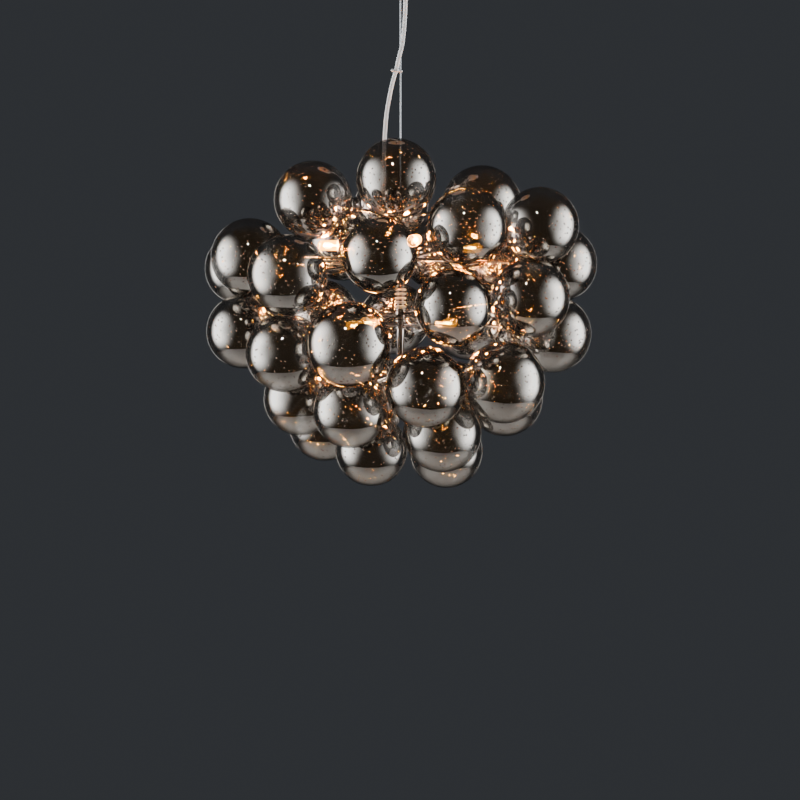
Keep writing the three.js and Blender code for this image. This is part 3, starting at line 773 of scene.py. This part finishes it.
# %% Stem head
HEAD, HEAD_RIM, COLUMN, BUSH, NUT = 27 * MM, 25.5 * MM, 6 * MM, 4.6 * MM, 6.4 * MM
WIRE_BORE = WIRE + GAP
spigot, spigot_end = BORE - GAP, HEAD_BOTTOM - 9 * MM
head = turned(eased([
    (WIRE_BORE, HEAD_BOTTOM), (spigot - 0.9 * MM, HEAD_BOTTOM), (spigot - 0.9 * MM, spigot_end),
    (spigot, spigot_end), (spigot, HEAD_BOTTOM), (HEAD, HEAD_BOTTOM), (HEAD, HEAD_TOP - 1 * MM),
    (HEAD_RIM, HEAD_TOP), (COLUMN, HEAD_TOP), (COLUMN, HEAD_TOP + 4 * MM),
    (COLUMN - 1.5 * MM, HEAD_TOP + 5 * MM), (WIRE_BORE, HEAD_TOP + 5 * MM)], 0.8 * MM, closed=True), 64)
low, high = HEAD_BOTTOM + 1 * MM, BUSH_TOP
bush = turned(eased([(0, low), (BUSH, low), (BUSH, high - 1.4 * MM), (BUSH - 1 * MM, high), (0, high)],
                    0.6 * MM), 32)
low, high = HEAD_TOP - 0.2 * MM, HEAD_TOP + 1.6 * MM
nut = turned(eased([(0, low), (NUT, low), (NUT, high), (0, high)], 0.3 * MM), 6)
aside = (-FLEX_REACH, 0, 0)
piece("stem_head_metal", joined(head, shifted(bush, aside), shifted(nut, aside)), chrome, "fixture",
      ["stem_head"])

# %% Bottom plug
plug_top = STEM_BOTTOM - GAP
plug_end, plug_face = plug_top + 10 * MM, plug_top - 3.5 * MM
plug = turned(eased([
    (0, plug_end), (spigot, plug_end), (spigot, plug_top), (PLUG, plug_top),
    (PLUG, plug_top - 1.75 * MM), (PLUG / 2, plug_face), (0, plug_face)], 0.7 * MM), 48)
piece("bottom_plug_metal", plug, chrome, "fixture", ["bottom_plug"])

# %% [markdown]
# ## Wire, flex and clip
# The wire is laid from six strands round a core, so its radius swells six times round and the swellings
# climb as they go. The flex is plain and smooth, and it is tied to no body.

# %% Wire
WIRE_TOP = -14 * MM
STOP_TOP = HEAD_BOTTOM - GAP
STOP, STOP_LENGTH, LAY = 2.3 * MM, 7 * MM, 14 * MM
stop_foot, waist = STOP_TOP - STOP_LENGTH, STOP - 0.4 * MM
line = np.linspace(WIRE_TOP, stop_foot + 1 * MM, 360)
strands = drawn(np.stack([0 * line, 0 * line, line], axis=-1), WIRE, 24,
                ripple=lambda s, a: 0.9 + 0.1 * np.abs(np.cos(3 * (a + s * 2 * np.pi / LAY))))
stop = turned(eased([
    (0, stop_foot), (STOP, stop_foot), (STOP, STOP_TOP - 4.4 * MM),
    (waist, STOP_TOP - 4 * MM), (waist, STOP_TOP - 3 * MM), (STOP, STOP_TOP - 2.6 * MM),
    (STOP, STOP_TOP), (0, STOP_TOP)], 0.4 * MM), 28)
piece("suspension_wire_strands", joined(strands, stop), wire_steel, "suspension",
      ["suspension_wire"])

# %% Flex
flex = piece("flex_cord_sheath", drawn(flex_path, FLEX_RADIUS, 20), white_flex, None,
             ["flex_cord"])
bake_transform(flex)

# %% Clip
clip = flex_place(CLIP_SHARES)
clip_hole, clip_ring, half, END_BEAD = FLEX_RADIUS + 0.9 * MM, FLEX_RADIUS + 1.8 * MM, 1.7 * MM, 2 * MM
away = clip * [1, 1, 0] / np.linalg.norm(clip[:2])
ring = turned(eased([(clip_hole, -half), (clip_ring, -half), (clip_ring, half), (clip_hole, half)],
                    0.4 * MM, closed=True), 36)
b = np.linspace(-0.5, 0.5, 9) * math.pi
bead = turned(np.vstack([[(WIRE_BORE, -half)],
                         np.stack([WIRE_BORE + 1.6 * MM * np.cos(b), half * np.sin(b)], axis=-1)[1:-1],
                         [(WIRE_BORE, half)]]), 28)
polar = b + math.pi / 2
end_bead = turned(np.stack([END_BEAD * np.sin(polar), -END_BEAD * np.cos(polar)], axis=-1), 24)
end_reach = np.linalg.norm(clip[:2]) + clip_ring + 1 * MM
moulding = joined(shifted(ring, clip), shifted(bead, (0, 0, clip[2])),
                  shifted(end_bead, away * end_reach + [0, 0, clip[2]]))
cord_clip = piece("cord_clip_moulding", moulding, clip_plastic, "suspension", ["cord_clip"])

# %% [markdown]
# ## Ceiling end
# The wire ends in a gripper whose half ball turns in a nylon seat, under a pressed bracket. A spun
# canopy slides up over it all, held by two grub screws. These lie just above the picture, but they are
# seen from every other side.

# %% Gripper and plunger
PIVOT = -22 * MM
BALL, BALL_TOP, BARREL, MOUTH = 19 * MM, 5 * MM, 4.6 * MM, -56 * MM
a = np.linspace(math.asin(BARREL / BALL), math.pi / 2 + math.asin(BALL_TOP / BALL), 26)
ball = np.stack([BALL * np.sin(a), PIVOT - BALL * np.cos(a)], axis=-1)
plunger_bore, plunger_seat = 3.5 * MM, MOUTH + 7.8 * MM
knurl = np.array([(BARREL, MOUTH), (BARREL, MOUTH + 2 * MM), (BARREL - 0.35 * MM, MOUTH + 2.5 * MM),
                  (BARREL - 0.35 * MM, MOUTH + 4 * MM), (BARREL, MOUTH + 4.5 * MM)])
gripper = turned(np.vstack([[(WIRE_BORE, plunger_seat), (plunger_bore, plunger_seat), (plunger_bore, MOUTH)],
                            knurl, ball, [(WIRE_BORE, PIVOT + BALL_TOP)]]), 56)
piece("cable_gripper_metal", gripper, chrome, "suspension", ["cable_gripper"])
low, high = MOUTH - 3.5 * MM, MOUTH + 5.5 * MM
piece("gripper_plunger_metal", turned(eased([
    (WIRE_BORE, low), (3.2 * MM, low), (3.2 * MM, high), (WIRE_BORE, high)], 0.5 * MM, closed=True), 32),
    bracket_steel, "plunger", ["gripper_plunger"])

# %% Canopy
CANOPY, CANOPY_TOP, CANOPY_BOTTOM = 60 * MM, -0.3 * MM, -38.3 * MM
CANOPY_WALL, CORNER, HOLE = 1.5 * MM, 7 * MM, 17.5 * MM


def canopy_surface():
    """Straight wall, a quarter round of the corner's radius, a flat floor and a rolled edge at the hole."""
    a = np.linspace(0, math.pi / 2, 12)
    outer, inner = (
        np.stack([CANOPY - CORNER + r * np.cos(a), CANOPY_BOTTOM + CORNER - r * np.sin(a)], axis=-1)
        for r in (CORNER, CORNER - CANOPY_WALL))
    b = np.linspace(-0.5, 0.5, 7) * math.pi
    roll, ease = CANOPY_WALL / 2, 0.3 * MM
    edge = np.stack([HOLE + roll - roll * np.cos(b), CANOPY_BOTTOM + roll + roll * np.sin(b)], axis=-1)
    rim = [(CANOPY - CANOPY_WALL, CANOPY_TOP), (CANOPY - ease, CANOPY_TOP), (CANOPY, CANOPY_TOP - ease)]
    return turned(np.vstack([rim, outer, edge, inner[::-1]]), 96)


def grub_screw(turn):
    """A screw sunk a hair under the canopy's wall."""
    rim = screw_rim(0.9 * MM, 1.9 * MM, -1 * MM, -0.05 * MM, 0.15 * MM)
    return aimed(rim, outward(turn), outward(turn) * CANOPY + [0, 0, -6 * MM])


piece("canopy_cup_metal", joined(canopy_surface(), grub_screw(90), grub_screw(-90)), satin_nickel, "canopy",
      ["canopy_cup"])

# %% Pieces kept from the model
kept = {"ceiling_bracket": bracket_steel, "terminal_block": nylon, "swivel_seat": nylon}
for label, material in kept.items():
    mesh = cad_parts[label].data
    mesh.materials.clear()
    mesh.materials.append(material)
print("kept as modelled: bracket, block and seat")

# %% [markdown]
# ## Studio
# A pale floor lies below. A tall soft light stands at each side, and the dark glass mirrors the two as
# upright windows. Two faint fills in front of them soften the windows' inner edges, two narrow strips
# behind trace the rims, and one small key above sets a point of light on each globe. The room stays dim,
# because smoked glass looks clear and grey in a bright one. Its front half is brown and its back half
# slate.

# %% Floor and room
FLOOR, FLOOR_THICK, FLOOR_PLACE = 2.2, 0.04, (0, 1.3, -1.95)
BROWN_FRONT, SLATE_BACK = (0.35, (0.049, 0.0375, 0.0255)), (0.65, (0.044, 0.047, 0.052))

floor_material, shader = finish("pale_floor", (0.74, 0.72, 0.70), 0.6)
patterned(floor_material, shader, 3, 0.5, 0.7)
disc = turned([(0, 0), (FLOOR, 0), (FLOOR, -FLOOR_THICK), (0, -FLOOR_THICK)], 128)
floor = piece("floor", shifted(disc, FLOOR_PLACE), floor_material, None)
floor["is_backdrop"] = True
room = bpy.data.worlds.new("room")
room.use_nodes = True
backdrop = room.node_tree.nodes["Background"]
backdrop.inputs["Strength"].default_value = 1.0
way = node(room, "ShaderNodeTexCoord")
depth = node(room, "ShaderNodeSeparateXYZ")
walls = node(room, "ShaderNodeValToRGB")
for shade, (position, color) in zip(walls.color_ramp.elements, (BROWN_FRONT, SLATE_BACK)):
    shade.position, shade.color = position, (*color, 1)
wire(room, way.outputs["Generated"], depth.inputs["Vector"])
wire(room, spread(room, depth.outputs["Y"], -1.0, 1.0), walls.inputs["Fac"])
wire(room, walls.outputs["Color"], backdrop.inputs["Color"])
scene.world = room
scene.view_settings.look = "AgX - Medium High Contrast"
scene.cycles.transparent_max_bounces = 40
scene.cycles.glossy_bounces = 8
scene.cycles.max_bounces = 14

# %% Soft lights
DAYLIGHT, FALL = (0.96, 1.0, 1.04), 3.0


def add_light(name, kind, power, place, rotation=(0, 0, 0)):
    """A light of a kind at a place, turned if asked."""
    data = bpy.data.lights.new(name, kind)
    data.energy = power
    light = bpy.data.objects.new(name, data)
    light.location = place
    light.rotation_euler = rotation
    scene.collection.objects.link(light)
    return light


def soft_light(name, turn, power, distance, height, size, soft):
    """A wide panel that faces the lamp from a turn round it, counted from the front. Its glow is the cube
    of the product of smooth steps in from its front edge, its back edge, and its top and foot."""
    light = add_light(name, "AREA", power, outward(turn) * distance + [0, 0, height],
                      (math.pi / 2, 0, math.radians(turn)))
    light.visible_camera = False
    data = light.data
    data.shape = "RECTANGLE"
    data.size, data.size_y = size
    data.color = DAYLIGHT
    data.use_nodes = True
    surface = node(data, "ShaderNodeNewGeometry")
    split = node(data, "ShaderNodeSeparateXYZ")
    wire(data, surface.outputs["Parametric"], split.inputs["Vector"])
    front, back, ends = soft
    if turn < 0:
        front, back = back, front
    total = None
    for axis, start, stop in (("X", 0, front), ("X", 1, 1 - back), ("Y", 0, ends), ("Y", 1, 1 - ends)):
        step = node(data, "ShaderNodeMapRange", interpolation_type="SMOOTHSTEP",
                    From_Min=start, From_Max=stop)
        wire(data, split.outputs[axis], step.inputs["Value"])
        if total is None:
            total = step.outputs["Result"]
        else:
            times = node(data, "ShaderNodeMath", operation="MULTIPLY")
            wire(data, total, times.inputs[0])
            wire(data, step.outputs["Result"], times.inputs[1])
            total = times.outputs["Value"]
    cube = node(data, "ShaderNodeMath", operation="POWER")
    cube.inputs[1].default_value = FALL
    wire(data, total, cube.inputs[0])
    wire(data, cube.outputs["Value"], data.node_tree.nodes["Emission"].inputs["Strength"])


for kind, turn, powers, *panel in (
        ("scrim", 70, (276, 261), 1.7, -0.35, (4.2, 5.0), (0.60, 0.34, 0.42)),
        ("fill", 38, (7, 7), 2.3, -0.35, (2.4, 3.4), (0.5, 0.5, 0.45)),
        ("rim_strip", 157, (16, 9), 2.6, -0.4, (0.5, 3.0), (0.4, 0.4, 0.3))):
    soft_light("left_" + kind, -turn, powers[0], *panel)
    soft_light("right_" + kind, turn, powers[1], *panel)

# %% Key and lamps' glow
KEY_POWER, KEY_PLACE, KEY_TURN, KEY_SIZE = 3, (-0.35, -1.9, 0.95), (52, 0, -10), 0.09
GLOW_POWER, GLOW_RADIUS, GLOW_AMBER = 1.8, 6 * MM, (1.0, 0.33, 0.07)

key = add_light("front_key", "AREA", KEY_POWER, KEY_PLACE, np.radians(KEY_TURN))
key.visible_camera = False
key.data.shape = "DISK"
key.data.size = KEY_SIZE
for number, spot in enumerate(glows):
    glow = add_light(f"glow_{number + 1}", "POINT", GLOW_POWER, spot)
    glow.data.color = GLOW_AMBER
    glow.data.shadow_soft_size = GLOW_RADIUS

low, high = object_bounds()
print("visual box", [round(v, 4) for v in (*low, *high)])
print("pieces", len(made), "faces", sum(count for label, count in made))
